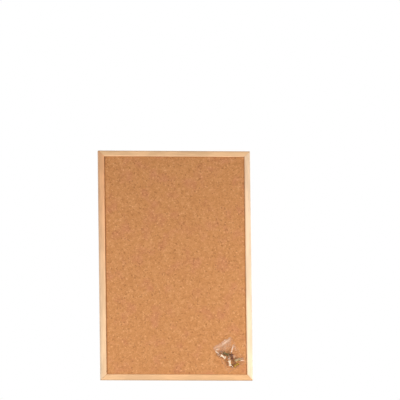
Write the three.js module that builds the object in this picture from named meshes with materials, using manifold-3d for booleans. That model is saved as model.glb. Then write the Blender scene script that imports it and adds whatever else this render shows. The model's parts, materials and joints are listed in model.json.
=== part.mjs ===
// A cork pin board in a mitred pine frame, with ring hangers and a bag of push pins.
// Millimetres. X runs across the board, Z is up, the cork faces -Y and the wall is at y = 0.
// The origin is the middle of the board, on the plane of the rails' backs.

import * as THREE from "three";
import { mergeVertices } from "three/addons/utils/BufferGeometryUtils.js";
import Module from "manifold-3d";

const wasm = await Module();
wasm.setup();

// Clearances
const fitGap = 0.3; // between a steel piece and the wood or loop around it
const mitreGap = 0.3; // glue line between two rails
const seatGap = 0.3; // between the cork and the lip of the rails
const edgeGap = 0.5; // between the panel's edge and the rebate
const pinGap = 0.4; // between pins, and between pins and film

// Board and panel
const boardWidth = 400;
const boardHeight = 600;
const corkThickness = 2;
const coreThickness = 7;
const backRecess = 3; // from the rails' backs in to the core

// Rail section
const railWidth = 15;
const lipThickness = 3.7; // wood in front of the cork
const rebateWidth = 4; // how far the lip covers the panel
const outerRoundWidth = 5;
const outerRoundDrop = 3.4;
const innerRoundWidth = 3.6;
const innerRoundDrop = 2.6;
const roundSteps = 5;

// Corner nails, two across each mitre
const nailsPerCorner = 2;
const nailLeg = 8;
const nailThickness = 0.8;
const nailDepth = 9;
const nailSink = 0.4;

// Flat points that hold the panel in from behind
const pointsAcross = 2; // on the top rail and on the bottom rail
const pointsUp = 3; // on each side rail
const pointWidth = 6;
const pointThickness = 0.6;
const pointTip = 5; // how far the tip goes into the rail
const pointTail = 8; // how far the tail lies over the core
const pointShoulder = 1; // straight part inside the rail

// Ring hangers on the backs of the side rails
const hangerDrop = 120; // from the board's top edge down to the loop
const hangerInset = 7.2; // from the board's outer side to the strap's middle
const strapWidth = 7;
const strapThickness = 1;
const strapTail = 4.5; // strap below the screw
const wireDiameter = 1.8;
const ringCorner = 1.8;
const ringHeight = 13;
const ringSideGap = 0.7;
const ringButtGap = 0.4; // where the ends of the bent wire meet, inside the loop
const ringSteps = 40;
const screwDrop = 18; // from the loop down to the screw
const screwDiameter = 3;
const screwLength = 12;
const screwPoint = 3.5;
const screwHeadDiameter = 6;
const screwHeadHeight = 1.9;
const screwHeadRim = 0.6;
const crossLength = 3.2;
const crossWidth = 0.8;
const crossDepth = 1.1;

// Push pins
const headLength = 14;
const collarDiameter = 9;
const collarHeight = 1.8;
const waistDiameter = 5.6;
const knobDiameter = 8;
const knobHeight = 2.2;
const headEase = 0.4; // small chamfer on the collar and the knob
const needleDiameter = 1.2;
const needleLength = 8;
const needlePoint = 2.2;
const needleSocket = 5;

// Grip-seal bag, drawn with thicker film than the real one
const filmThickness = 0.4;
const filmGap = 0.3; // between the two films at the welds
const weldWidth = 2;
const bagSideRoom = 3; // past the furthest end of a pin
const bagFootRoom = 7.3; // below the lowest end of a pin
const bagHeadRoom = 19.1; // above the highest end of a pin
const fullSide = 3.4; // from the furthest end of a pin in to where the bag is full
const fullFoot = 0.3; // from the lowest end of a pin up to where the bag is full
const fullHead = 7.6; // from the highest end of a pin down to where the bag is full
const bagTurn = THREE.MathUtils.degToRad(31); // turned against the clock, seen from the front
const bagSideGap = 1.4; // from the bag's lowest right corner to the right rail
const bagFootGap = 3.9; // from the bag's foot to the bottom rail
const bagSlackPower = 6; // how squarely the film falls away beside the pins
const zipDrop = 9; // from the mouth down to the zip
const zipWidth = 1.4;
const zipHeight = 0.5;
const filmColumns = 30;
const filmRows = 44;
const dotDiameter = 14;
const dotThickness = 0.6;

// Finishes
function finish(color, roughness, metalness = 0) {
  return new THREE.MeshStandardMaterial({ color, roughness, metalness });
}

const paleWood = finish(0xf0c896, 0.6);
const creamWood = finish(0xfae0b4, 0.6);
const corkFinish = finish(0xca8c5a, 0.9);
const coreFinish = finish(0x9a7a58, 0.95);
const zincSteel = finish(0xb9bcc0, 0.35, 1);
const darkSteel = finish(0x8c8f94, 0.45, 1);
const clearFilm = finish(0xf2e6e0, 0.15);
const clearGlue = finish(0xe8e4da, 0.3);
const whitePlastic = finish(0xf2efe6, 0.3);
const yellowPlastic = finish(0xd2a82a, 0.3);
const redPlastic = finish(0x8c2a20, 0.3);
const greenPlastic = finish(0x3f5f38, 0.3);

// The pins as they lie in the bag: the head's finish, the middle of the pin across and up in pin
// lengths, and the way that its needle points, in degrees from straight across
const pinList = [
  [whitePlastic, -0.909, 0.367, 117],
  [greenPlastic, -0.477, 0.488, 124],
  [redPlastic, 0.171, -0.194, 63],
  [whitePlastic, -0.495, -0.719, 69],
  [greenPlastic, 0.647, -1.06, -13],
  [yellowPlastic, -0.169, -1.431, 179],
];

// Worked out from the sizes above
const rebateDepth = backRecess + coreThickness + corkThickness + seatGap;
const railDepth = rebateDepth + lipThickness;
const backLand = railWidth - rebateWidth;
const corkFace = -(backRecess + coreThickness + corkThickness);
const panelWidth = boardWidth - 2 * (backLand + edgeGap);
const panelHeight = boardHeight - 2 * (backLand + edgeGap);
const loopRadius = wireDiameter / 2 + fitGap;
const loopOuter = loopRadius + strapThickness;
const ringHalf = strapWidth / 2 + ringSideGap + ringCorner;
const pinLength = headLength + needleLength;
const pinPlaces = pinList.map(([, across, up, degrees]) => ({
  across: across * pinLength,
  up: up * pinLength,
  turn: THREE.MathUtils.degToRad(degrees),
}));
const pinReach = Math.max(
  ...pinPlaces.map((pin) => Math.abs(pin.across) + (pinLength / 2) * Math.abs(Math.cos(pin.turn))),
);
const pinsTop = Math.max(
  ...pinPlaces.map((pin) => pin.up + (pinLength / 2) * Math.abs(Math.sin(pin.turn))),
);
const pinsFoot = Math.min(
  ...pinPlaces.map((pin) => pin.up - (pinLength / 2) * Math.abs(Math.sin(pin.turn))),
);
const pocketDepth = collarDiameter + 2 * pinGap;
const bagWidth = 2 * (pinReach + bagSideRoom);
const bagHeight = bagFootRoom + pinsTop - pinsFoot + bagHeadRoom;
const bagMiddle = (pinsTop + bagHeadRoom + pinsFoot - bagFootRoom) / 2;

// A closed geometry as a solid that can be joined and cut
function solid(geometry) {
  const bare = geometry.clone();
  bare.deleteAttribute("normal");
  bare.deleteAttribute("uv");
  const merged = mergeVertices(bare);
  return new wasm.Manifold(
    new wasm.Mesh({
      numProp: 3,
      vertProperties: new Float32Array(merged.attributes.position.array),
      triVerts: new Uint32Array(merged.index.array),
    }),
  );
}

function geometryOf(body) {
  const mesh = body.getMesh();
  const geometry = new THREE.BufferGeometry();
  geometry.setAttribute("position", new THREE.BufferAttribute(new Float32Array(mesh.vertProperties), 3));
  geometry.setIndex(new THREE.BufferAttribute(new Uint32Array(mesh.triVerts), 1));
  geometry.computeVertexNormals();
  return geometry;
}

function cut(geometry, cutters) {
  let body = solid(geometry);
  for (const cutter of cutters) body = body.subtract(solid(cutter));
  return geometryOf(body);
}

function named(name, geometry, material) {
  const mesh = new THREE.Mesh(geometry, material);
  mesh.name = name;
  return mesh;
}

// A flat outline in X and Z, thickened from y = back towards the front
function plate(points, back, thickness) {
  const shape = new THREE.Shape(points.map(([x, z]) => new THREE.Vector2(x, z)));
  const geometry = new THREE.ExtrudeGeometry(shape, { depth: thickness, bevelEnabled: false });
  return geometry.rotateX(Math.PI / 2).translate(0, back, 0);
}

// The rail's section, from its outer side inwards and from its back to its front
function railSection() {
  const shape = new THREE.Shape();
  shape.moveTo(0, 0);
  shape.lineTo(backLand, 0);
  shape.lineTo(backLand, rebateDepth);
  shape.lineTo(railWidth, rebateDepth);
  shape.lineTo(railWidth, railDepth - innerRoundDrop);
  const innerStart = railWidth - innerRoundWidth;
  const innerFoot = railDepth - innerRoundDrop;
  shape.absellipse(innerStart, innerFoot, innerRoundWidth, innerRoundDrop, 0, Math.PI / 2, false, 0);
  const outerFoot = railDepth - outerRoundDrop;
  shape.absellipse(outerRoundWidth, outerFoot, outerRoundWidth, outerRoundDrop, Math.PI / 2, Math.PI, false, 0);
  shape.closePath();
  return shape;
}

// A rail along X with its outer side at z = 0, and both ends cut back at 45 degrees
function railBlank(length) {
  const settings = { depth: 1, bevelEnabled: false, curveSegments: roundSteps };
  const geometry = new THREE.ExtrudeGeometry(railSection(), settings);
  const place = geometry.attributes.position;
  for (let i = 0; i < place.count; i += 1) {
    const inward = place.getX(i);
    const forward = place.getY(i);
    const side = place.getZ(i) > 0.5 ? -1 : 1;
    const half = length / 2 - mitreGap * Math.SQRT1_2 - inward;
    place.setXYZ(i, side * half, -forward, -inward);
  }
  return geometry;
}

// Corner nails: a strip bent to a right angle, with a leg along each rail
const nailInsets = Array.from(
  { length: nailsPerCorner },
  (_, i) => (backLand * (i + 1)) / (nailsPerCorner + 1),
);

function nailStrip(grow, back, depth) {
  const half = nailThickness / 2 + grow;
  const leg = nailLeg + grow;
  const outline = [
    [half, half],
    [-leg, half],
    [-leg, -half],
    [-half, -half],
    [-half, -leg],
    [half, -leg],
  ];
  return plate(outline, back, depth);
}

// The slots at both ends of a rail; a slot starts outside the wood and runs past the nail
function nailSlots(length) {
  const slots = [];
  for (const inset of nailInsets) {
    const depth = nailSink + nailDepth + 2 * fitGap;
    const right = nailStrip(fitGap, fitGap, depth);
    const left = right.clone().rotateY(-Math.PI / 2);
    slots.push(right.translate(length / 2 - inset, 0, -inset));
    slots.push(left.translate(-length / 2 + inset, 0, -inset));
  }
  return slots;
}

// A panel point along Z, its tip up in the rail and its tail down over the core
function pointOutline(grow) {
  const half = pointWidth / 2 + grow;
  const wall = -backLand;
  return [
    [-half, wall - pointTail],
    [half, wall - pointTail],
    [half, wall + pointShoulder + grow],
    [0, wall + pointTip + 2 * grow],
    [-half, wall + pointShoulder + grow],
  ];
}

function pointPlaces(length, count) {
  return Array.from({ length: count }, (_, i) => ((i + 0.5) / count - 0.5) * length);
}

const pointBack = -(backRecess - pointThickness);

function pointSlots(length, count) {
  return pointPlaces(length, count).map((x) =>
    plate(pointOutline(fitGap), pointBack + fitGap, pointThickness + 2 * fitGap).translate(x, 0, 0),
  );
}

function pilotHole(x) {
  const radius = screwDiameter / 2 + fitGap;
  const depth = screwLength - strapThickness + fitGap;
  const hole = new THREE.CylinderGeometry(radius, radius, depth + fitGap, 16);
  return hole.translate(x, (fitGap - depth) / 2, -hangerInset);
}

// A rail with its slots, and with its panel points beside it
let pointCount = 0;

function rail(name, material, length, points, holes) {
  const group = new THREE.Group();
  const cutters = [...nailSlots(length), ...pointSlots(length, points), ...holes.map(pilotHole)];
  group.add(named(name, cut(railBlank(length), cutters), material));
  for (const x of pointPlaces(length, points)) {
    pointCount += 1;
    const point = named(
      `panel_point_${pointCount}`,
      plate(pointOutline(0), pointBack, pointThickness),
      darkSteel,
    );
    point.position.x = x;
    group.add(point);
  }
  return group;
}

const screwHeight = boardHeight / 2 - hangerDrop - screwDrop;

function frame() {
  const group = new THREE.Group();
  const top = rail("top_rail", paleWood, boardWidth, pointsAcross, []);
  top.position.z = boardHeight / 2;
  const right = rail("right_rail", creamWood, boardHeight, pointsUp, [-screwHeight]);
  right.position.x = boardWidth / 2;
  right.rotation.y = Math.PI / 2;
  const bottom = rail("bottom_rail", paleWood, boardWidth, pointsAcross, []);
  bottom.position.z = -boardHeight / 2;
  bottom.rotation.y = Math.PI;
  const left = rail("left_rail", paleWood, boardHeight, pointsUp, [screwHeight]);
  left.position.x = -boardWidth / 2;
  left.rotation.y = -Math.PI / 2;
  group.add(top, right, bottom, left);

  const corners = [
    [1, 1],
    [1, -1],
    [-1, -1],
    [-1, 1],
  ];
  let count = 0;
  corners.forEach(([across, up], turn) => {
    for (const inset of nailInsets) {
      count += 1;
      const nail = named(`corner_nail_${count}`, nailStrip(0, -nailSink, nailDepth), darkSteel);
      nail.position.set(across * (boardWidth / 2 - inset), 0, up * (boardHeight / 2 - inset));
      nail.rotation.y = (turn * Math.PI) / 2;
      group.add(nail);
    }
  });
  return group;
}

// The cork sheet on its fibreboard core
function panel() {
  const group = new THREE.Group();
  const sheet = new THREE.BoxGeometry(panelWidth, corkThickness, panelHeight);
  const cork = named("cork_sheet", sheet, corkFinish);
  cork.position.y = corkFace + corkThickness / 2;
  const board = new THREE.BoxGeometry(panelWidth, coreThickness, panelHeight);
  const core = named("core_board", board, coreFinish);
  core.position.y = -(backRecess + coreThickness / 2);
  group.add(cork, core);
  return group;
}

// The strap's side view: flat on the rail, rolled into a loop at the top
function strap() {
  const foot = -(screwDrop + strapTail);
  const meet = Math.acos((strapThickness - loopOuter) / loopOuter);
  const shape = new THREE.Shape();
  shape.moveTo(0, foot);
  shape.lineTo(strapThickness, foot);
  shape.absarc(loopOuter, 0, loopOuter, -meet, Math.PI, false);
  shape.closePath();
  const eye = new THREE.Path();
  eye.absarc(loopOuter, 0, loopRadius, 0, 2 * Math.PI, true);
  shape.holes.push(eye);
  const settings = { depth: strapWidth, bevelEnabled: false, curveSegments: 10 };
  const geometry = new THREE.ExtrudeGeometry(shape, settings);
  const turn = new THREE.Matrix4().makeBasis(
    new THREE.Vector3(0, 1, 0),
    new THREE.Vector3(0, 0, 1),
    new THREE.Vector3(1, 0, 0),
  );
  geometry.applyMatrix4(turn).translate(-strapWidth / 2, 0, 0);
  const radius = screwDiameter / 2 + fitGap;
  const hole = new THREE.CylinderGeometry(radius, radius, 3 * strapThickness, 16);
  return cut(geometry, [hole.translate(0, 0, -screwDrop)]);
}

// The ring's wire: a letter D on its side, its straight bar through the loop
function ring() {
  const bar = ringHalf - ringCorner;
  const bowl = ringHalf - ringHeight;
  const line = new THREE.Path();
  line.moveTo(ringButtGap / 2, 0);
  line.lineTo(bar, 0);
  line.absarc(bar, -ringCorner, ringCorner, Math.PI / 2, 0, true);
  line.lineTo(ringHalf, bowl);
  line.absarc(0, bowl, ringHalf, 0, -Math.PI, true);
  line.lineTo(-ringHalf, -ringCorner);
  line.absarc(-bar, -ringCorner, ringCorner, Math.PI, Math.PI / 2, true);
  line.lineTo(-ringButtGap / 2, 0);
  const points = line.getSpacedPoints(ringSteps).map((p) => new THREE.Vector3(p.x, 0, p.y));
  const section = new THREE.Shape();
  section.absarc(0, 0, wireDiameter / 2, 0, 2 * Math.PI, false);
  return new THREE.ExtrudeGeometry(section, {
    steps: ringSteps,
    curveSegments: 4,
    extrudePath: new THREE.CatmullRomCurve3(points),
  });
}

function lathe(profile, sides) {
  return new THREE.LatheGeometry(
    profile.map(([radius, height]) => new THREE.Vector2(radius, height)),
    sides,
  );
}

// A pan-head screw along Y, its head on the strap and its point in the rail
function screw() {
  const shank = screwDiameter / 2;
  const head = screwHeadDiameter / 2;
  const body = lathe(
    [
      [0, -screwLength],
      [shank, screwPoint - screwLength],
      [shank, 0],
      [head, 0],
      [head, screwHeadRim],
      [head * 0.8, screwHeadHeight * 0.8],
      [head * 0.4, screwHeadHeight],
      [0, screwHeadHeight],
    ],
    16,
  );
  const bar = new THREE.BoxGeometry(crossLength, 2 * crossDepth, crossWidth);
  bar.translate(0, screwHeadHeight, 0);
  return cut(body, [bar, bar.clone().rotateY(Math.PI / 2)]);
}

function hanger(name, x) {
  const group = new THREE.Group();
  group.position.set(x, 0, boardHeight / 2 - hangerDrop);
  group.add(named(`${name}_hanger_strap`, strap(), zincSteel));
  const wire = named(`${name}_hanger_ring`, ring(), zincSteel);
  wire.position.y = loopOuter;
  const fixing = named(`${name}_hanger_screw`, screw(), zincSteel);
  fixing.position.set(0, strapThickness, -screwDrop);
  group.add(wire, fixing);
  return group;
}

// A push pin along Y: the collar's underside is at 0, the knob is up and the needle points down
function pinHead() {
  const bore = needleDiameter / 2 + fitGap;
  const collar = collarDiameter / 2;
  const knob = knobDiameter / 2;
  const waist = waistDiameter / 2;
  const flare = (collar - waist) / 3;
  const knobFoot = headLength - knobHeight;
  return lathe(
    [
      [0, needleSocket],
      [bore, needleSocket],
      [bore, 0],
      [collar - headEase, 0],
      [collar, headEase],
      [collar, collarHeight - headEase],
      [collar - headEase, collarHeight],
      [waist + flare, collarHeight + flare],
      [waist, collarHeight + 3 * flare],
      [waist, knobFoot - 2 * flare],
      [knob, knobFoot],
      [knob, headLength - headEase],
      [knob - headEase, headLength],
      [0, headLength],
    ],
    16,
  );
}

function pinNeedle() {
  const radius = needleDiameter / 2;
  return lathe(
    [
      [0, -needleLength],
      [radius, needlePoint - needleLength],
      [radius, needleSocket - fitGap],
      [0, needleSocket - fitGap],
    ],
    8,
  );
}

// Pins lie flat, each in its own place
function pins(height) {
  const group = new THREE.Group();
  pinList.forEach(([material], i) => {
    const pin = new THREE.Group();
    pin.position.set(pinPlaces[i].across, -height, pinPlaces[i].up - bagMiddle);
    pin.rotation.y = -pinPlaces[i].turn;
    const lying = new THREE.Group();
    lying.rotation.z = Math.PI / 2;
    lying.position.x = headLength - pinLength / 2;
    lying.add(named(`pin_head_${i + 1}`, pinHead(), material));
    lying.add(named(`pin_needle_${i + 1}`, pinNeedle(), zincSteel));
    pin.add(lying);
    group.add(pin);
  });
  return group;
}

// Inside height of the bag: full over the pins, falling to the welds and the zip
const weldX = bagWidth / 2 - weldWidth;
const weldFoot = -bagHeight / 2 + weldWidth;
const zipLine = bagHeight / 2 - zipDrop;
const fullX = pinReach - fullSide;
const fullBottom = pinsFoot + fullFoot - bagMiddle;
const fullTop = pinsTop - fullHead - bagMiddle;

function pocket(x, z) {
  const beside = Math.max(0, Math.abs(x) - fullX) / (weldX - fullX);
  const above = Math.max(0, z - fullTop) / (zipLine - zipWidth - fullTop);
  const below = Math.max(0, fullBottom - z) / (fullBottom - weldFoot);
  const away = Math.hypot(beside, above, below);
  const fall = Math.max(0, 1 - away ** bagSlackPower);
  return filmGap + (pocketDepth - filmGap) * fall;
}

// A sheet that follows the pocket: an outer and an inner skin, joined round the edge
function frontFilm() {
  const across = filmColumns + 1;
  const inner = across * (filmRows + 1);
  const positions = [];
  for (const lift of [filmThickness, 0]) {
    for (let j = 0; j <= filmRows; j += 1) {
      for (let i = 0; i <= filmColumns; i += 1) {
        const x = (i / filmColumns - 0.5) * bagWidth;
        const z = (j / filmRows - 0.5) * bagHeight;
        positions.push(x, -(pocket(x, z) + lift), z);
      }
    }
  }
  const index = [];
  const quad = (a, b, c, d) => index.push(a, b, c, a, c, d);
  for (let j = 0; j < filmRows; j += 1) {
    for (let i = 0; i < filmColumns; i += 1) {
      const a = j * across + i;
      quad(a, a + 1, a + across + 1, a + across);
      quad(inner + a, inner + a + across, inner + a + across + 1, inner + a + 1);
    }
  }
  const edge = [];
  for (let i = 0; i < filmColumns; i += 1) edge.push(i);
  for (let j = 0; j < filmRows; j += 1) edge.push(j * across + filmColumns);
  for (let i = filmColumns; i > 0; i -= 1) edge.push(filmRows * across + i);
  for (let j = filmRows; j > 0; j -= 1) edge.push(j * across);
  edge.forEach((a, i) => {
    const b = edge[(i + 1) % edge.length];
    quad(b, a, inner + a, inner + b);
  });
  const sheet = new THREE.BufferGeometry();
  sheet.setAttribute("position", new THREE.BufferAttribute(new Float32Array(positions), 3));
  sheet.setIndex(index);
  const zip = new THREE.BoxGeometry(2 * weldX, filmThickness + zipHeight, zipWidth);
  zip.translate(0, -(filmGap + (filmThickness + zipHeight) / 2), zipLine);
  return geometryOf(solid(sheet).add(solid(zip)));
}

function pinBag() {
  const group = new THREE.Group();
  const halfX = (bagWidth * Math.cos(bagTurn) + bagHeight * Math.sin(bagTurn)) / 2;
  const halfZ = (bagWidth * Math.sin(bagTurn) + bagHeight * Math.cos(bagTurn)) / 2;
  group.position.set(
    boardWidth / 2 - railWidth - bagSideGap - halfX,
    corkFace,
    -boardHeight / 2 + railWidth + bagFootGap + halfZ,
  );
  group.rotation.y = -bagTurn;

  const radius = dotDiameter / 2;
  const disc = new THREE.CylinderGeometry(radius, radius, dotThickness, 20);
  const dot = named("bag_dot", disc, clearGlue);
  dot.position.y = -dotThickness / 2;
  const sheet = new THREE.BoxGeometry(bagWidth, filmThickness, bagHeight);
  const back = named("bag_back_film", sheet, clearFilm);
  back.position.y = -(dotThickness + filmThickness / 2);
  const front = named("bag_front_film", frontFilm(), clearFilm);
  front.position.y = -(dotThickness + filmThickness);
  group.add(dot, back, front, pins(dotThickness + filmThickness + pocketDepth / 2));
  return group;
}

const pinBoard = new THREE.Group();
pinBoard.name = "pin_board";
pinBoard.add(frame(), panel());
pinBoard.add(hanger("left", -(boardWidth / 2 - hangerInset)));
pinBoard.add(hanger("right", boardWidth / 2 - hangerInset));
pinBoard.add(pinBag());

export default pinBoard;
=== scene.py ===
"""Dresses a cork pin board: pine rails, pressed cork, ring hangers and a bag of push pins."""

import json
import math

import bpy
import numpy as np
from bpy.props import FloatProperty, FloatVectorProperty, PointerProperty
from mathutils import Matrix, Vector


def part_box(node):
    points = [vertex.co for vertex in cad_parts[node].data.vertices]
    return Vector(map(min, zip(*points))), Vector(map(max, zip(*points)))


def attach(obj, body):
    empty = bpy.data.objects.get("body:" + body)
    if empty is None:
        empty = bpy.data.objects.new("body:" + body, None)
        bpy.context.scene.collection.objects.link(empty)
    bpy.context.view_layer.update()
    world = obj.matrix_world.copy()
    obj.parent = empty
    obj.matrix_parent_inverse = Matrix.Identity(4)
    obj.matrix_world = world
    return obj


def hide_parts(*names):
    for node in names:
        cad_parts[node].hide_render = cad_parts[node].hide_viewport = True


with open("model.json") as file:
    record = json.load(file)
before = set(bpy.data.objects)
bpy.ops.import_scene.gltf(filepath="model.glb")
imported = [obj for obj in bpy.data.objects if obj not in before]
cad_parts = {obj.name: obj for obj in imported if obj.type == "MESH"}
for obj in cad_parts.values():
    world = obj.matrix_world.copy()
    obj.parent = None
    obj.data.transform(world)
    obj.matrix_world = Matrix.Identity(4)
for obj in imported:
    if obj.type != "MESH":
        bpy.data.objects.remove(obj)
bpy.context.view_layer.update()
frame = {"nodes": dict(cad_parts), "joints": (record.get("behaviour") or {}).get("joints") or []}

bl_info = {
    "name": "Cork pin board",
    "version": (1, 0, 0),
    "blender": (4, 5, 0),
    "location": "View3D > Sidebar > Pin board",
    "description": "Finishes a framed cork board with its hangers and a bag of push pins",
    "category": "Object",
}

MM = 0.001
NAIL_COUNT = 8
POINT_COUNT = 10

# Each push pin: its plastic, and its slot in the record
PINS = (
    ("white", "white_plastic"),
    ("green", "green_plastic"),
    ("red", "red_plastic"),
    ("white", "white_plastic"),
    # The fifth pin takes a lit copy of the green plastic: painted light
    ("pale_green", "green_plastic"),
    ("yellow", "yellow_plastic"),
)
HEAD_SIDES = 40
NEEDLE_SIDES = 20
NEEDLE_IN_HEAD = 0.3 * MM
KNOB_REACH = 1.2 * MM

# A pin head's outline from the needle up: shares of the collar's or knob's radius, and of the height
COLLAR_OUTLINE = (
    (0.9, 0.0), (0.965, 0.008), (1.0, 0.03), (1.0, 0.105), (0.97, 0.135), (0.9, 0.147),
    (0.78, 0.16), (0.68, 0.19), (0.61, 0.245), (0.565, 0.32), (0.53, 0.42), (0.53, 0.54),
    (0.55, 0.63), (0.59, 0.71), (0.655, 0.775), (0.74, 0.825),
)
KNOB_OUTLINE = (
    (0.97, 0.848), (1.0, 0.87), (1.0, 0.945), (0.97, 0.978), (0.9, 0.995), (0.8, 1.0),
    (0.4, 0.993), (0.0, 0.99),
)

# Round wire, and the steps of a ring's corner and bowl
WIRE_SIDES = 20
CORNER_STEPS = 8
BOWL_STEPS = 32

# The bag and its film
BAG_TURN = math.radians(31)
WELD_WIDTH = 1.6 * MM
ZIP_DROP = 9 * MM
ZIP_HALF = 1.2 * MM
RIB_OFFSET = 0.6 * MM
RIB_WIDTH = 0.35 * MM
RIB_HEIGHT = 0.6 * MM
BACK_LIFT = 0.8 * MM
CORNER_CURL = 1.2 * MM
FILM_GAP = 0.2 * MM
PIN_GAP = 0.25 * MM
SETTLE_STEPS = 1500
SETTLE_PULL = 0.004 * MM
DOT_SIDES = 48

# The film's folds, which also mark painted highlights: start and end as shares of the bag's half sizes,
# strength, width in millimetres
FOLDS_AND_HIGHLIGHTS = (
    ((-0.34, 0.8), (0.98, 0.9), 0.5, 2.6),
    ((-0.96, 0.9), (-0.1, 0.81), 0.3, 2.6),
    ((-1.02, 0.72), (-0.84, 0.47), 1.0, 1.7),
    ((-0.9, 0.75), (-0.48, 0.66), 0.7, 1.7),
    ((0.1, 0.7), (-0.2, 0.34), 0.25, 2.2),
    ((0.86, 0.47), (0.18, 0.04), 1.1, 1.9),
    ((0.86, 0.47), (0.72, -0.04), 0.6, 1.7),
    ((0.3, -0.16), (0.24, -0.38), 0.6, 2.6),
    ((-0.12, -0.04), (-0.37, -0.37), 0.6, 1.8),
    ((-1.0, 0.44), (-0.8, 0.22), 0.7, 1.6),
    ((0.5, -0.69), (0.96, -0.83), 1.0, 1.8),
    ((0.0, -0.48), (0.8, -0.62), 0.5, 2.2),
)

# The camera: angles in degrees, lengths in metres, lens and sensor in millimetres
CAMERA_AZIMUTH = -9.19
CAMERA_ELEVATION = -6.09
CAMERA_ROLL = -0.7
CAMERA_DISTANCE = 40
CAMERA_LENS = 1382.3
CAMERA_SENSOR = 36
BOARD_MIDDLE = Vector((0, -0.012, 0))
AIM_RIGHT = 0.0638
AIM_UP = 0.1704

# Each lamp: its name, place in metres, side of its square in metres and power in watts
LAMPS = (
    ("right_lamp", (0.95, -0.8, -0.45), 0.3, 10.6),
    ("left_lamp", (-0.95, -0.8, -0.45), 0.3, 7.8),
    ("top_lamp", (0.1, -0.35, 1.5), 0.6, 1.8),
    ("back_lamp", (0.6, 2.4, 1.2), 2.4, 26),
)
SURROUND_LIGHT = 0.46
FLOOR_LEVEL = -2.5
FLOOR_REACH = 12
FLOOR_POINTS = 25
FLOOR_GLOW = 0.56


def linear(red, green, blue):
    """Turns screen values from 0 to 255 into the linear values that shaders take."""
    parts = []
    for value in (red, green, blue):
        share = value / 255
        parts.append(share / 12.92 if share <= 0.04045 else ((share + 0.055) / 1.055) ** 2.4)
    return tuple(parts)


def swatch(label, description, red, green, blue):
    """A colour that the user can change."""
    return FloatVectorProperty(
        name=label,
        description=description,
        subtype="COLOR",
        size=3,
        min=0,
        max=1,
        default=linear(red, green, blue),
    )


def measure(label, description, millimetres):
    """A length that the user can change."""
    return FloatProperty(
        name=label,
        description=description,
        subtype="DISTANCE",
        unit="LENGTH",
        min=0,
        precision=5,
        default=millimetres * MM,
    )


class PinBoardColours(bpy.types.PropertyGroup):
    """Colours of the board's finishes."""

    pine: swatch("Pine", "Wood of the top rail", 236, 190, 142)
    # Painted shade: the left rail's upper end is darker than its lower end
    heart_pine: swatch("Heart pine", "Upper end of the left rail", 236, 173, 121)
    sap_pine: swatch("Sap pine", "Lower end of the left rail", 248, 205, 159)
    warm_pine: swatch("Warm pine", "Right end of the bottom rail", 234, 180, 125)
    soft_pine: swatch("Soft pine", "Left end of the bottom rail", 234, 188, 141)
    pine_ring: swatch("Pine rings", "Darker lines of the pale wood", 206, 152, 100)
    # Painted shade: the right rail's upper end is darker than its lower end
    shaded_cream: swatch("Dull cream pine", "Upper end of the right rail", 247, 210, 172)
    cream: swatch("Cream pine", "Lower end of the right rail", 251, 222, 186)
    cream_ring: swatch("Cream pine rings", "Darker lines of the cream wood", 234, 196, 148)
    cork: swatch("Cork", "Middle tone of the pressed cork", 202, 139, 85)
    cork_dark: swatch("Dark cork", "Bark grains and seams in the cork", 150, 94, 54)
    cork_rosy: swatch("Rosy cork", "Redder patches of the cork", 200, 131, 90)
    cork_light: swatch("Light cork", "Palest grains in the cork", 228, 171, 116)
    fibreboard: swatch("Fibreboard", "Soft board behind the cork", 154, 122, 88)
    zinc: swatch("Zinc", "Plating of the hangers and the needles", 184, 183, 180)
    dark_steel: swatch("Dark steel", "Nails and panel points", 126, 124, 120)
    film: swatch("Film", "Haze of the clear bag", 224, 176, 141)
    glue: swatch("Glue", "Clear dot that holds the bag", 226, 190, 150)
    white_pin: swatch("White pins", "White moulded heads", 250, 230, 200)
    yellow_pin: swatch("Yellow pin", "Yellow moulded head", 170, 129, 26)
    red_pin: swatch("Red pin", "Red moulded head", 98, 48, 24)
    green_pin: swatch("Green pin", "Green moulded head", 104, 92, 48)
    # Painted light: the green pin's colour made paler as if lit, for the fifth pin
    pale_green_pin: swatch("Pale green pin", "Paler green moulded head", 178, 158, 98)


class PinBoardSizes(bpy.types.PropertyGroup):
    """Sizes of the board's surface detail."""

    ring_spacing: measure("Ring spacing", "Distance between growth rings in the pine", 3.4)
    grain_size: measure("Cork grain", "Size of the large cork grains", 4.6)
    fine_grain: measure("Fine grain", "Size of the small cork grains", 1.7)
    fleck_size: measure("Cork flecks", "Size of the single dark and pale flecks", 3.3)
    cork_relief: measure("Cork relief", "How far cork grains stand proud or sink", 0.22)
    cork_pitch: measure("Cork pitch", "Distance between points of the cork mesh", 1.8)
    film_pitch: measure("Film pitch", "Distance between points of the film mesh", 0.7)
    crease_height: measure("Crease height", "How far the film's creases stand up", 0.7)
    mouth_gap: measure("Mouth gap", "How far the bag's mouth stands open", 3.4)


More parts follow.
